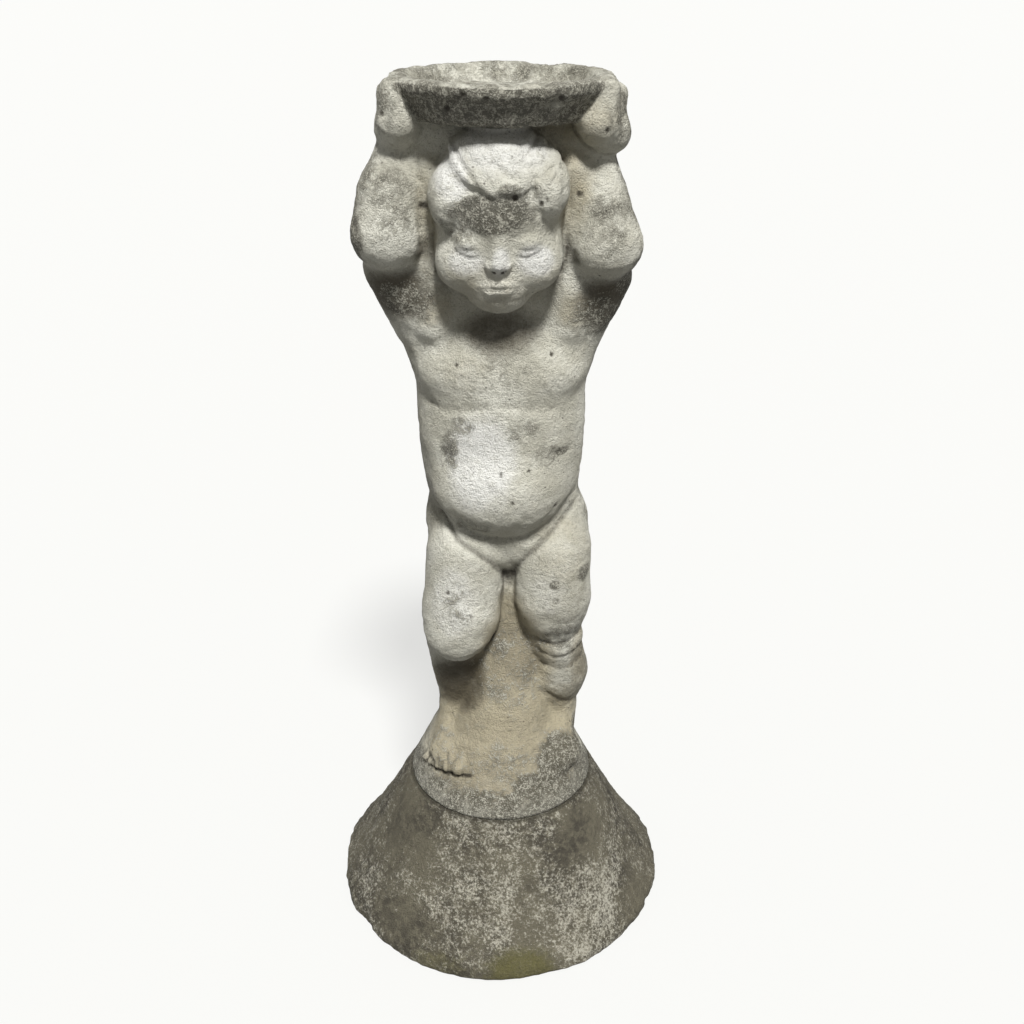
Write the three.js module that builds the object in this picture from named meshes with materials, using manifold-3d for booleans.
// Garden statue: a standing child holds a shallow dish over its head, cast in one piece with a small
// round plinth, and stands on a rough bell-shaped foot. Millimetres, +Z up, the child faces -Y.

import * as THREE from 'three';
import { mergeVertices } from 'three/addons/utils/BufferGeometryUtils.js';
import Module from 'manifold-3d';

const wasm = await Module();
wasm.setup();

// Bell-shaped foot
const footHeight = 137.5;     // floor to the seat under the figure's plinth
const footRadius = 179.5;     // mean radius on the floor
const footRim = 10;           // height of the steep edge along the floor
const footFlare = 6;          // how far the flank sags inside a straight cone
const footLean = 4.5;         // how much further the foot reaches to the front than to the sides
const footLumps = 2.2;        // height of the uneven waves on the flank
const footRimLean = 1.5;      // how far the steep edge leans in
const seatLip = 1.5;          // the seat's radius over the plinth's

// Plinth under the child's feet, cast with the figure
const plinthRadius = 99.5;    // at its underside
const plinthHeight = 66;
const plinthTopRadius = 68;
const plinthRounding = 2.5;     // of the plinth's edges and of the seat's, which leaves the groove between them
const seatGap = 0.3;

// Dish over the head
const rimRadius = 97;
const dishHeight = 36;        // underside to rim
const dishBaseRadius = 80;    // of the underside
const lipHeight = 14;
const lipWidth = 15;          // wall at the rim
const lipStep = 3;            // how far the wall below the lip stands inside the rim
const dishDepth = 16;
const dishFloorRadius = 66;
const dishRounding = 6;       // of the outer edges and the corner under the lip
const dishSides = 40;

// The child, from its soles to the dish's underside
const childHeight = 641;
const squareCount = 641;      // its forms are drawn on a net of squares, this many to its height
const soleSink = 16;          // how deep the soles sit below the top of the plinth's mound

// Size of the facets
const bodyFacet = 16;
const handFacet = 9.6;
const headFacet = 7.2;
const toeFacet = 7.4;
const footSides = 48;

const figureHeight = plinthHeight - soleSink + childHeight + dishHeight;

// Distance forms, negative inside. Points are plain arrays [x, y, z].
const mix = (a, b, t) => a + (b - a) * t;
const clamp01 = (t) => Math.min(1, Math.max(0, t));

function ball(p, c, r) {
  let outer = 0;
  let inner = 0;
  for (let i = 0; i < 3; i++) {
    const q = (p[i] - c[i]) / r[i];
    outer += q * q;
    inner += (q / r[i]) ** 2;
  }
  const k = Math.sqrt(outer) + 1e-9;
  return (k * (k - 1)) / (Math.sqrt(inner) + 1e-9);
}

function limb(p, a, b, ra, rb) {
  const ba = [b[0] - a[0], b[1] - a[1], b[2] - a[2]];
  const pa = [p[0] - a[0], p[1] - a[1], p[2] - a[2]];
  const along = pa[0] * ba[0] + pa[1] * ba[1] + pa[2] * ba[2];
  const h = clamp01(along / (ba[0] ** 2 + ba[1] ** 2 + ba[2] ** 2));
  return Math.hypot(pa[0] - h * ba[0], pa[1] - h * ba[1], pa[2] - h * ba[2]) - mix(ra, rb, h);
}

// Limb whose depth along Y is a share of its width
function flatLimb(p, a, b, ra, rb, share) {
  const q = [p[0], (p[1] - a[1]) / share, p[2]];
  return limb(q, [a[0], 0, a[2]], [b[0], (b[1] - a[1]) / share, b[2]], ra, rb) * mix(0.5, 1, share);
}

// Rounded block between two corners
function block(p, low, high, round) {
  let far = 0;
  let near = -Infinity;
  for (let i = 0; i < 3; i++) {
    const q = Math.abs(p[i] - (low[i] + high[i]) / 2) - (high[i] - low[i]) / 2 + round;
    far += Math.max(q, 0) ** 2;
    near = Math.max(near, q);
  }
  return Math.sqrt(far) + Math.min(near, 0) - round;
}

// Round drum or cone about the Z axis with rounded edges
function drum(p, z0, z1, r0, r1, round) {
  const t = clamp01((p[2] - z0) / (z1 - z0));
  const side = (Math.hypot(p[0], p[1]) - mix(r0, r1, t)) / Math.hypot(1, (r1 - r0) / (z1 - z0)) + round;
  const end = Math.abs(p[2] - (z0 + z1) / 2) - (z1 - z0) / 2 + round;
  return Math.hypot(Math.max(side, 0), Math.max(end, 0)) + Math.min(Math.max(side, end), 0) - round;
}

// Soft union and soft cut, blended over a width k
function join(a, b, k) {
  const h = clamp01(0.5 + (0.5 * (b - a)) / k);
  return mix(b, a, h) - k * h * (1 - h);
}
const cut = (a, b, k) => -join(-a, b, k);

function chain(p, joints, k) {
  let d = Infinity;
  for (let i = 0; i + 1 < joints.length; i++) {
    const [a, ra] = joints[i];
    const [b, rb] = joints[i + 1];
    const part = limb(p, a, b, ra, rb);
    d = i === 0 ? part : join(d, part, k);
  }
  return d;
}

// The child's forms are counted in squares, Z up from the soles
const square = childHeight / squareCount;
const rimSquares = rimRadius / square;
const rimTopSquares = (childHeight + dishHeight) / square;
const sideNames = [-1, 1];    // -1 is the viewer's left

const headCentre = [-2, -28, 563];
const headNod = THREE.MathUtils.degToRad(11);

function headFrame(p) {
  const y = p[1] - headCentre[1];
  const z = p[2] - headCentre[2];
  const c = Math.cos(headNod);
  const s = Math.sin(headNod);
  return [p[0] - headCentre[0], c * y + s * z, c * z - s * y];
}

function face(q) {
  let d = ball(q, [0, 0, 10], [59, 58, 64]);
  d = join(d, ball(q, [0, -8, -26], [54, 48, 40]), 16);
  for (const s of sideNames) d = join(d, ball(q, [s * 29, -33, -30], [25, 24, 24]), 12);
  d = join(d, ball(q, [0, -39, -57], [25, 18, 16]), 12);
  d = join(d, ball(q, [0, -47, -41], [22, 14, 17]), 10);
  for (const s of sideNames) {
    d = cut(d, ball(q, [s * 23, -66, -2], [15, 9.5, 9]), 10);
    d = join(d, ball(q, [s * 23, -46, -4], [13, 12, 9.5]), 2.5);
  }
  d = join(d, limb(q, [0, -52, 6], [0, -61.5, -18], 4.5, 6.5), 9);
  for (const s of sideNames) {
    d = join(d, ball(q, [s * 6.5, -58.5, -20.5], [4.5, 5.5, 4]), 3);
    d = join(d, limb(q, [s * 2.5, -62, -36.5], [s * 13, -58, -40], 2.8, 1.4), 3);
  }
  d = join(d, limb(q, [-6, -60.5, -44.5], [6, -60.5, -44.5], 3.4, 3.4), 4);
  return cut(d, ball(q, [0, -63, -51], [10, 4.5, 3]), 4);
}

function hair(q) {
  const fringe = 36 + (q[0] - 4) ** 2 / 110 + 1.2 * Math.sin(q[0] / 4);
  let d = cut(ball(q, [0, -2, 12], [64, 61, 67]), q[2] - fringe, 5);
  for (const s of sideNames) d = join(d, ball(q, [s * 40, -18, 28 + 4 * s], [20, 33, 28]), 8);
  return d;
}

function head(p) {
  const q = headFrame(p);
  return join(face(q), hair(q), 3);
}

// Each arm goes from the shoulder to the wrist, which is given by the dish that it holds
function arm(p, side, wrist) {
  const left = side < 0;
  const shoulder = [side * 54, 8, 430];
  const upper = left ? [-90, -4, 511] : [86, -4, 505];
  const elbow = left ? [-97, -31, 548] : [92, -31, 539];
  const fore = left ? [-95, -24, 580] : [85, -21, 573];
  const front = chain(p, [[elbow, left ? 34 : 32.5], [fore, left ? 29 : 25], [wrist, left ? 17 : 16]], 6);
  return join(limb(p, shoulder, upper, 32, left ? 34 : 33), front, 14);
}

function leftLeg(p) {
  let d = limb(p, [-33, -13, 226], [-40, -24, 162], 42, 38.5);
  d = join(d, limb(p, [-40, -24, 162], [-44, -30, 144], 38, 34), 10);
  return join(d, limb(p, [-47, -3, 112], [-45, 2, 37], 31, 21), 6);
}

function rightLeg(p) {
  let d = limb(p, [48, -6, 226], [52, -14, 174], 43, 38.5);
  d = join(d, limb(p, [52, -14, 174], [53, -15, 160], 38, 33), 10);
  d = join(d, limb(p, [54, -12, 142], [56, -8, 124], 29, 30), 5);
  d = join(d, limb(p, [58, -2, 102], [59, 2, 74], 29, 32), 5);
  return join(d, limb(p, [59, 2, 74], [58, 6, 26], 31, 22), 10);
}

// The left foot lies on the slope of the plinth, with its five toes over the edge
function leftFoot(p) {
  let d = limb(p, [-45, 0, 30], [-45, 0, 16], 22, 21);
  d = join(d, limb(p, [-45, 0, 16], [-57, -38, -2], 20, 16), 8);
  d = join(d, ball(p, [-52, -37, -5], [24, 24, 15]), 8);
  for (let i = 0; i < 5; i++) {
    const t = i / 4;
    const turn = THREE.MathUtils.degToRad(mix(34, 68, t));
    const reach = mix(80, 85, t);
    const tip = [-reach * Math.sin(turn), -reach * Math.cos(turn), mix(-7, -20, t)];
    const size = mix(8, 5.5, t);
    d = join(d, limb(p, [0.82 * tip[0], 0.82 * tip[1], tip[2] + 6], tip, size, size), 2);
  }
  return d;
}

// The right foot is worn to a smooth ramp
function rightFoot(p) {
  const heel = limb(p, [56, 4, 22], [61, -30, 4], 22, 18);
  return join(heel, ball(p, [64, -40, -6], [26, 26, 15]), 16);
}

function torso(p) {
  let d = flatLimb(p, [0, 6, 418], [3, 8, 270], 82, 72, 0.68);
  d = join(d, ball(p, [7, 14, 248], [80, 50, 50]), 20);
  d = join(d, ball(p, [0, -6, 345], [66, 49, 82]), 30);
  d = join(d, ball(p, [-1, -14, 304], [67, 57, 55]), 10);
  for (const s of sideNames) {
    d = join(d, ball(p, [s * 31, -19, 418], [44, 31, 28]), 12);
    d = join(d, ball(p, [6 + s * 34, 30, 216], [38, 34, 42]), 20);
  }
  return d;
}

// Block between the legs, left solid by the mould
function legBlock(p) {
  const upper = limb(p, [8, 10, 177], [10, 2, 102], 24, 32);
  return join(upper, limb(p, [10, 2, 102], [4, -6, 20], 32, 56), 12);
}

// All but the face, the hands and the feet, with the web between the arms, the back of the head, the
// fillings between head and arms and the pad between head and dish
function child(p) {
  let d = torso(p);
  d = join(d, leftLeg(p), 8);
  d = join(d, rightLeg(p), 8);
  d = join(d, legBlock(p), 6);
  sideNames.forEach((side, i) => {
    d = join(d, arm(p, side, wrists[i]), 12);
  });
  d = join(d, limb(p, [0, 6, 442], [-1, -6, 512], 36, 36), 10);
  d = join(d, block(p, [-84, -30, 458], [82, 32, squareCount + 6], 14), 8);
  d = join(d, ball(p, [-2, 2, 562], [54, 50, 62]), 14);
  for (const s of sideNames) d = join(d, limb(p, [s * 60, -22, 462], [s * 62, -28, 598], 16, 14), 8);
  return join(d, limb(p, [-2, -34, 600], [-2, -34, squareCount + 6], 22, 26), 8);
}

const dishUnderside = figureHeight - dishHeight;

// Rim and underside are cut off level later, so their forms are drawn past them
const overshoot = 1.25 * bodyFacet;

// Outside of the dish
function dish(p) {
  const lipFoot = figureHeight - lipHeight;
  const wallTop = figureHeight - lipHeight / 2;
  const bowl = drum(p, dishUnderside, wallTop, dishBaseRadius, rimRadius - lipStep, dishRounding);
  const lip = drum(p, lipFoot, figureHeight + overshoot, rimRadius - lipStep / 3, rimRadius, dishRounding);
  return join(bowl, lip, dishRounding);
}

function plinth(p) {
  const lowRadius = plinthRadius + (overshoot * (plinthRadius - plinthTopRadius)) / plinthHeight;
  return drum(p, -overshoot, plinthHeight, lowRadius, plinthTopRadius, plinthRounding);
}

const palms = [[-(rimSquares - 11), -20, squareCount - 9], [rimSquares - 9, -20, squareCount - 11]];
const wrists = palms.map(([x, y, z], i) => [x - [2, 6][i], y + 8, z - [12, 18][i]]);

// Each hand cups the dish from below and curls up to its rim
function hand(p, side, palm) {
  const fingers = [side * (rimSquares - (side < 0 ? 4 : 2)), -16, rimTopSquares - 17];
  const reach = side < 0 ? 21 : 23;
  const heel = [palm[0] - (side < 0 ? 0 : 8), palm[1] - 17, squareCount + 2];
  const heelTop = [side * (rimSquares - (side < 0 ? 8 : 11)), palm[1] - 17, rimTopSquares - 12];
  let d = ball(p, palm, [reach, 24, 19]);
  d = join(d, limb(p, [palm[0] + side * 2, palm[1] - 2, palm[2] + 8], fingers, 15, 12), 8);
  return join(d, limb(p, heel, heelTop, side < 0 ? 18 : 21, side < 0 ? 12 : 13), 6);
}

// From millimetres over the plinth's underside to squares over the soles, and back
const soles = plinthHeight - soleSink;
const toSquares = ([x, y, z]) => [x / square, y / square, (z - soles) / square];
const fromSquares = ([x, y, z]) => [x * square, y * square, z * square + soles];
const inSquares = (form) => (p) => form(toSquares(p)) * square;

const childForm = inSquares(child);
const body = (p) => join(join(childForm(p), dish(p), 6 * square), plinth(p), 18 * square);
const bothHands = inSquares((p) => Math.min(hand(p, -1, palms[0]), hand(p, 1, palms[1])));
const wholeHead = inSquares(head);
const bothFeet = inSquares((p) => Math.min(leftFoot(p), rightFoot(p)));

// Even steps that reach from one end past the other
function gridLines(from, to, step) {
  const count = Math.ceil((to - from) / step) + 1;
  return Array.from({ length: count }, (_, i) => from + i * step);
}

// Facets of the surface where a form is zero: one point in each grid cell that the surface crosses
function carve(form, low, high, facet) {
  const [xs, ys, zs] = low.map((from, m) => gridLines(from - 2.2 * facet, high[m] + 2.2 * facet, facet));
  const [nx, ny, nz] = [xs.length, ys.length, zs.length];
  const at = (i, j, k) => (i * ny + j) * nz + k;
  const values = new Float64Array(nx * ny * nz);
  for (let i = 0; i < nx; i++) {
    for (let j = 0; j < ny; j++) {
      for (let k = 0; k < nz; k++) values[at(i, j, k)] = form([xs[i], ys[j], zs[k]]);
    }
  }
  closeDiagonals(values, [nx, ny, nz], at);

  const points = [];
  const cellPoint = new Int32Array(nx * ny * nz).fill(-1);
  for (let i = 0; i + 1 < nx; i++) {
    for (let j = 0; j + 1 < ny; j++) {
      for (let k = 0; k + 1 < nz; k++) {
        const point = crossingPoint(values, at, [i, j, k], [xs, ys, zs]);
        if (!point) continue;
        cellPoint[at(i, j, k)] = points.length;
        points.push(settle(form, point, facet));
      }
    }
  }

  const faces = [];
  const steps = [[1, 0, 0], [0, 1, 0], [0, 0, 1]];
  for (let i = 1; i + 1 < nx; i++) {
    for (let j = 1; j + 1 < ny; j++) {
      for (let k = 1; k + 1 < nz; k++) {
        for (let axis = 0; axis < 3; axis++) {
          const [di, dj, dk] = steps[axis];
          const here = values[at(i, j, k)] < 0;
          const next = values[at(i + di, j + dj, k + dk)] < 0;
          if (here === next) continue;
          const u = steps[(axis + 1) % 3];
          const v = steps[(axis + 2) % 3];
          const cell = (a, b) => cellPoint[at(i - a * u[0] - b * v[0], j - a * u[1] - b * v[1], k - a * u[2] - b * v[2])];
          const ring = [cell(1, 1), cell(0, 1), cell(0, 0), cell(1, 0)];
          if (next) ring.reverse();
          splitQuad(ring, points, faces);
        }
      }
    }
  }
  return toGeometry(points, faces);
}

// Where two solid corners of a grid square meet only across its diagonal, the nearer open corner is filled
function closeDiagonals(values, [nx, ny, nz], at) {
  const pairs = [[[1, 0, 0], [0, 1, 0]], [[0, 1, 0], [0, 0, 1]], [[1, 0, 0], [0, 0, 1]]];
  let changed = true;
  while (changed) {
    changed = false;
    for (let i = 0; i + 1 < nx; i++) {
      for (let j = 0; j + 1 < ny; j++) {
        for (let k = 0; k + 1 < nz; k++) {
          for (const [u, v] of pairs) {
            const ids = [
              at(i, j, k),
              at(i + u[0], j + u[1], k + u[2]),
              at(i + u[0] + v[0], j + u[1] + v[1], k + u[2] + v[2]),
              at(i + v[0], j + v[1], k + v[2]),
            ];
            const solid = ids.map((id) => values[id] < 0);
            if (solid[0] !== solid[2] || solid[1] !== solid[3] || solid[0] === solid[1]) continue;
            const open = ids.filter((id) => values[id] >= 0);
            const nearer = values[open[0]] < values[open[1]] ? open[0] : open[1];
            values[nearer] = -1e-3;
            changed = true;
          }
        }
      }
    }
  }
}

// Mean of the places where the surface crosses a cell's edges
function crossingPoint(values, at, cell, lines) {
  const sum = [0, 0, 0];
  let count = 0;
  for (let corner = 0; corner < 8; corner++) {
    const low = [corner & 1, (corner >> 1) & 1, corner >> 2];
    for (let axis = 0; axis < 3; axis++) {
      if (low[axis] === 1) continue;
      const high = low.slice();
      high[axis] = 1;
      const a = values[at(cell[0] + low[0], cell[1] + low[1], cell[2] + low[2])];
      const b = values[at(cell[0] + high[0], cell[1] + high[1], cell[2] + high[2])];
      if (a < 0 === b < 0) continue;
      const t = a / (a - b);
      for (let m = 0; m < 3; m++) {
        const from = lines[m][cell[m] + low[m]];
        const to = lines[m][cell[m] + high[m]];
        sum[m] += mix(from, to, t);
      }
      count++;
    }
  }
  return count ? sum.map((s) => s / count) : null;
}

// Slides a point onto the surface along the form's slope
function settle(form, start, facet) {
  const reach = 0.03 * facet;
  const farthest = 0.3 * facet;
  let p = start;
  for (let pass = 0; pass < 3; pass++) {
    const d = form(p);
    const slope = [0, 1, 2].map((m) => {
      const q = p.slice();
      q[m] += reach;
      return (form(q) - d) / reach;
    });
    const steep = slope[0] ** 2 + slope[1] ** 2 + slope[2] ** 2 + 1e-6;
    const step = Math.max(-farthest, Math.min(farthest, d)) / Math.max(steep, 0.25);
    p = p.map((x, m) => x - slope[m] * step);
  }
  const moved = Math.hypot(p[0] - start[0], p[1] - start[1], p[2] - start[2]);
  return moved < farthest ? p : start;
}

// A quad becomes two triangles across its shorter diagonal
function splitQuad([a, b, c, d], points, faces) {
  const gap = (m, n) => Math.hypot(...points[m].map((x, i) => x - points[n][i]));
  if (gap(a, c) < gap(b, d)) faces.push([a, b, c], [a, c, d]);
  else faces.push([a, b, d], [b, c, d]);
}

function toGeometry(points, faces) {
  const geometry = new THREE.BufferGeometry();
  geometry.setAttribute('position', new THREE.Float32BufferAttribute(points.flat(), 3));
  geometry.setIndex(faces.flat());
  return geometry;
}

// Closed mesh to solid and back, for the cuts
function toSolid(geometry) {
  const bare = geometry.clone();
  bare.deleteAttribute('normal');
  bare.deleteAttribute('uv');
  const merged = mergeVertices(bare, 1e-4);
  return new wasm.Manifold(new wasm.Mesh({
    numProp: 3,
    vertProperties: new Float32Array(merged.attributes.position.array),
    triVerts: new Uint32Array(merged.index.array),
  }));
}

function fromSolid(solid) {
  const mesh = solid.getMesh();
  const geometry = new THREE.BufferGeometry();
  geometry.setAttribute('position', new THREE.BufferAttribute(new Float32Array(mesh.vertProperties), 3));
  geometry.setIndex(Array.from(mesh.triVerts));
  geometry.computeVertexNormals();
  return geometry;
}

// Hollow of the dish and everything over its rim: flat floor, wall leaning out to the lip
function dishHollow() {
  const clear = figureHeight + 2 * dishHeight;
  const floor = figureHeight - dishDepth;
  const mouth = rimRadius - lipWidth;
  const outline = [
    [0, floor],
    [dishFloorRadius, floor],
    [mix(dishFloorRadius, mouth, 0.75), floor + dishDepth * 0.3],
    [mouth, figureHeight],
    [2 * rimRadius, figureHeight],
    [2 * rimRadius, clear],
    [0, clear],
  ];
  const turned = new THREE.LatheGeometry(outline.map(([x, y]) => new THREE.Vector2(x, y)), dishSides);
  return turned.rotateX(Math.PI / 2);
}

// Everything below the plinth's underside
function belowPlinth() {
  const size = 4 * plinthRadius;
  return new THREE.BoxGeometry(size, size, size).translate(0, 0, -size / 2);
}

function makeFigure() {
  const halfWidth = Math.max(136 * square, rimRadius);
  const halfDepth = Math.max(rimRadius, plinthRadius, 84 * square);
  const handReach = rimSquares + 20;
  const boxed = (low, high) => [fromSquares(low), fromSquares(high)];
  const parts = [
    carve(body, [-halfWidth, -halfDepth, -overshoot], [halfWidth, halfDepth, figureHeight + overshoot], bodyFacet),
    carve(wholeHead, ...boxed([-70, -104, 480], [64, 44, 650]), headFacet),
    carve(bothHands, ...boxed([-handReach, -62, squareCount - 34], [handReach, 8, rimTopSquares]), handFacet),
    carve(bothFeet, ...boxed([-100, -92, -40], [90, 30, 52]), toeFacet),
  ];
  const whole = parts.map(toSolid).reduce((sum, solid) => sum.add(solid));
  return fromSolid(whole.subtract(toSolid(belowPlinth())).subtract(toSolid(dishHollow())));
}

// Uneven outline of the foot, in the direction of an angle and at a share of its height
function footWander(angle, rise) {
  const lean = -footLean * Math.sin(angle) - 0.3 * footLean * Math.cos(angle);
  const waves = 0.5 * Math.sin(3 * angle + 1 + 4 * rise) + 0.3 * Math.sin(7 * angle + 2 - 6 * rise)
    + 0.2 * Math.sin(11 * angle + 5 * rise);
  const fade = 1 - rise ** 3;
  return fade * (lean + footLumps * waves);
}

function makeFoot() {
  const seatRadius = plinthRadius + seatLip;
  const flankRadius = footRadius - footRimLean;
  const rows = [[0, footRadius], [footRim, flankRadius]];
  const flankRows = 8;
  const shoulder = footHeight - plinthRounding;
  for (let i = 1; i <= flankRows; i++) {
    const t = i / flankRows;
    const straight = mix(flankRadius, seatRadius, t);
    rows.push([mix(footRim, shoulder, t), straight - footFlare * Math.sin(Math.PI * t) * (1 - t)]);
  }
  const bevel = 0.3 * plinthRounding;
  rows.push([footHeight - bevel, seatRadius - bevel]);
  rows.push([footHeight, seatRadius - plinthRounding]);

  const points = [[0, 0, 0]];
  for (const [z, r] of rows) {
    for (let i = 0; i < footSides; i++) {
      const angle = (2 * Math.PI * i) / footSides;
      const reach = r + footWander(angle, z / footHeight);
      points.push([reach * Math.cos(angle), reach * Math.sin(angle), z]);
    }
  }
  const last = points.length;
  points.push([0, 0, footHeight]);

  const faces = [];
  const ringPoint = (row, i) => 1 + row * footSides + (i % footSides);
  for (let i = 0; i < footSides; i++) {
    faces.push([0, ringPoint(0, i + 1), ringPoint(0, i)]);
    faces.push([last, ringPoint(rows.length - 1, i), ringPoint(rows.length - 1, i + 1)]);
    for (let row = 0; row + 1 < rows.length; row++) {
      const [a, b] = [ringPoint(row, i), ringPoint(row, i + 1)];
      const [c, d] = [ringPoint(row + 1, i + 1), ringPoint(row + 1, i)];
      faces.push([a, b, c], [a, c, d]);
    }
  }
  const geometry = toGeometry(points, faces);
  geometry.computeVertexNormals();
  return geometry;
}

const paleConcrete = new THREE.MeshStandardMaterial({ color: '#c9c5b4', roughness: 0.95, metalness: 0 });
const greyConcrete = new THREE.MeshStandardMaterial({ color: '#7d7a6c', roughness: 0.97, metalness: 0 });

const statue = new THREE.Group();

const bellFoot = new THREE.Mesh(makeFoot(), greyConcrete);
bellFoot.name = 'bell_foot';

const cherub = new THREE.Mesh(makeFigure(), paleConcrete);
cherub.name = 'cherub_figure';
cherub.position.z = footHeight + seatGap;

// The origin is on the floor under the middle of the foot's uneven outline
const middle = new THREE.Box3().setFromObject(bellFoot).getCenter(new THREE.Vector3());
for (const piece of [bellFoot, cherub]) {
  piece.position.x -= middle.x;
  piece.position.y -= middle.y;
  statue.add(piece);
}

export default statue;
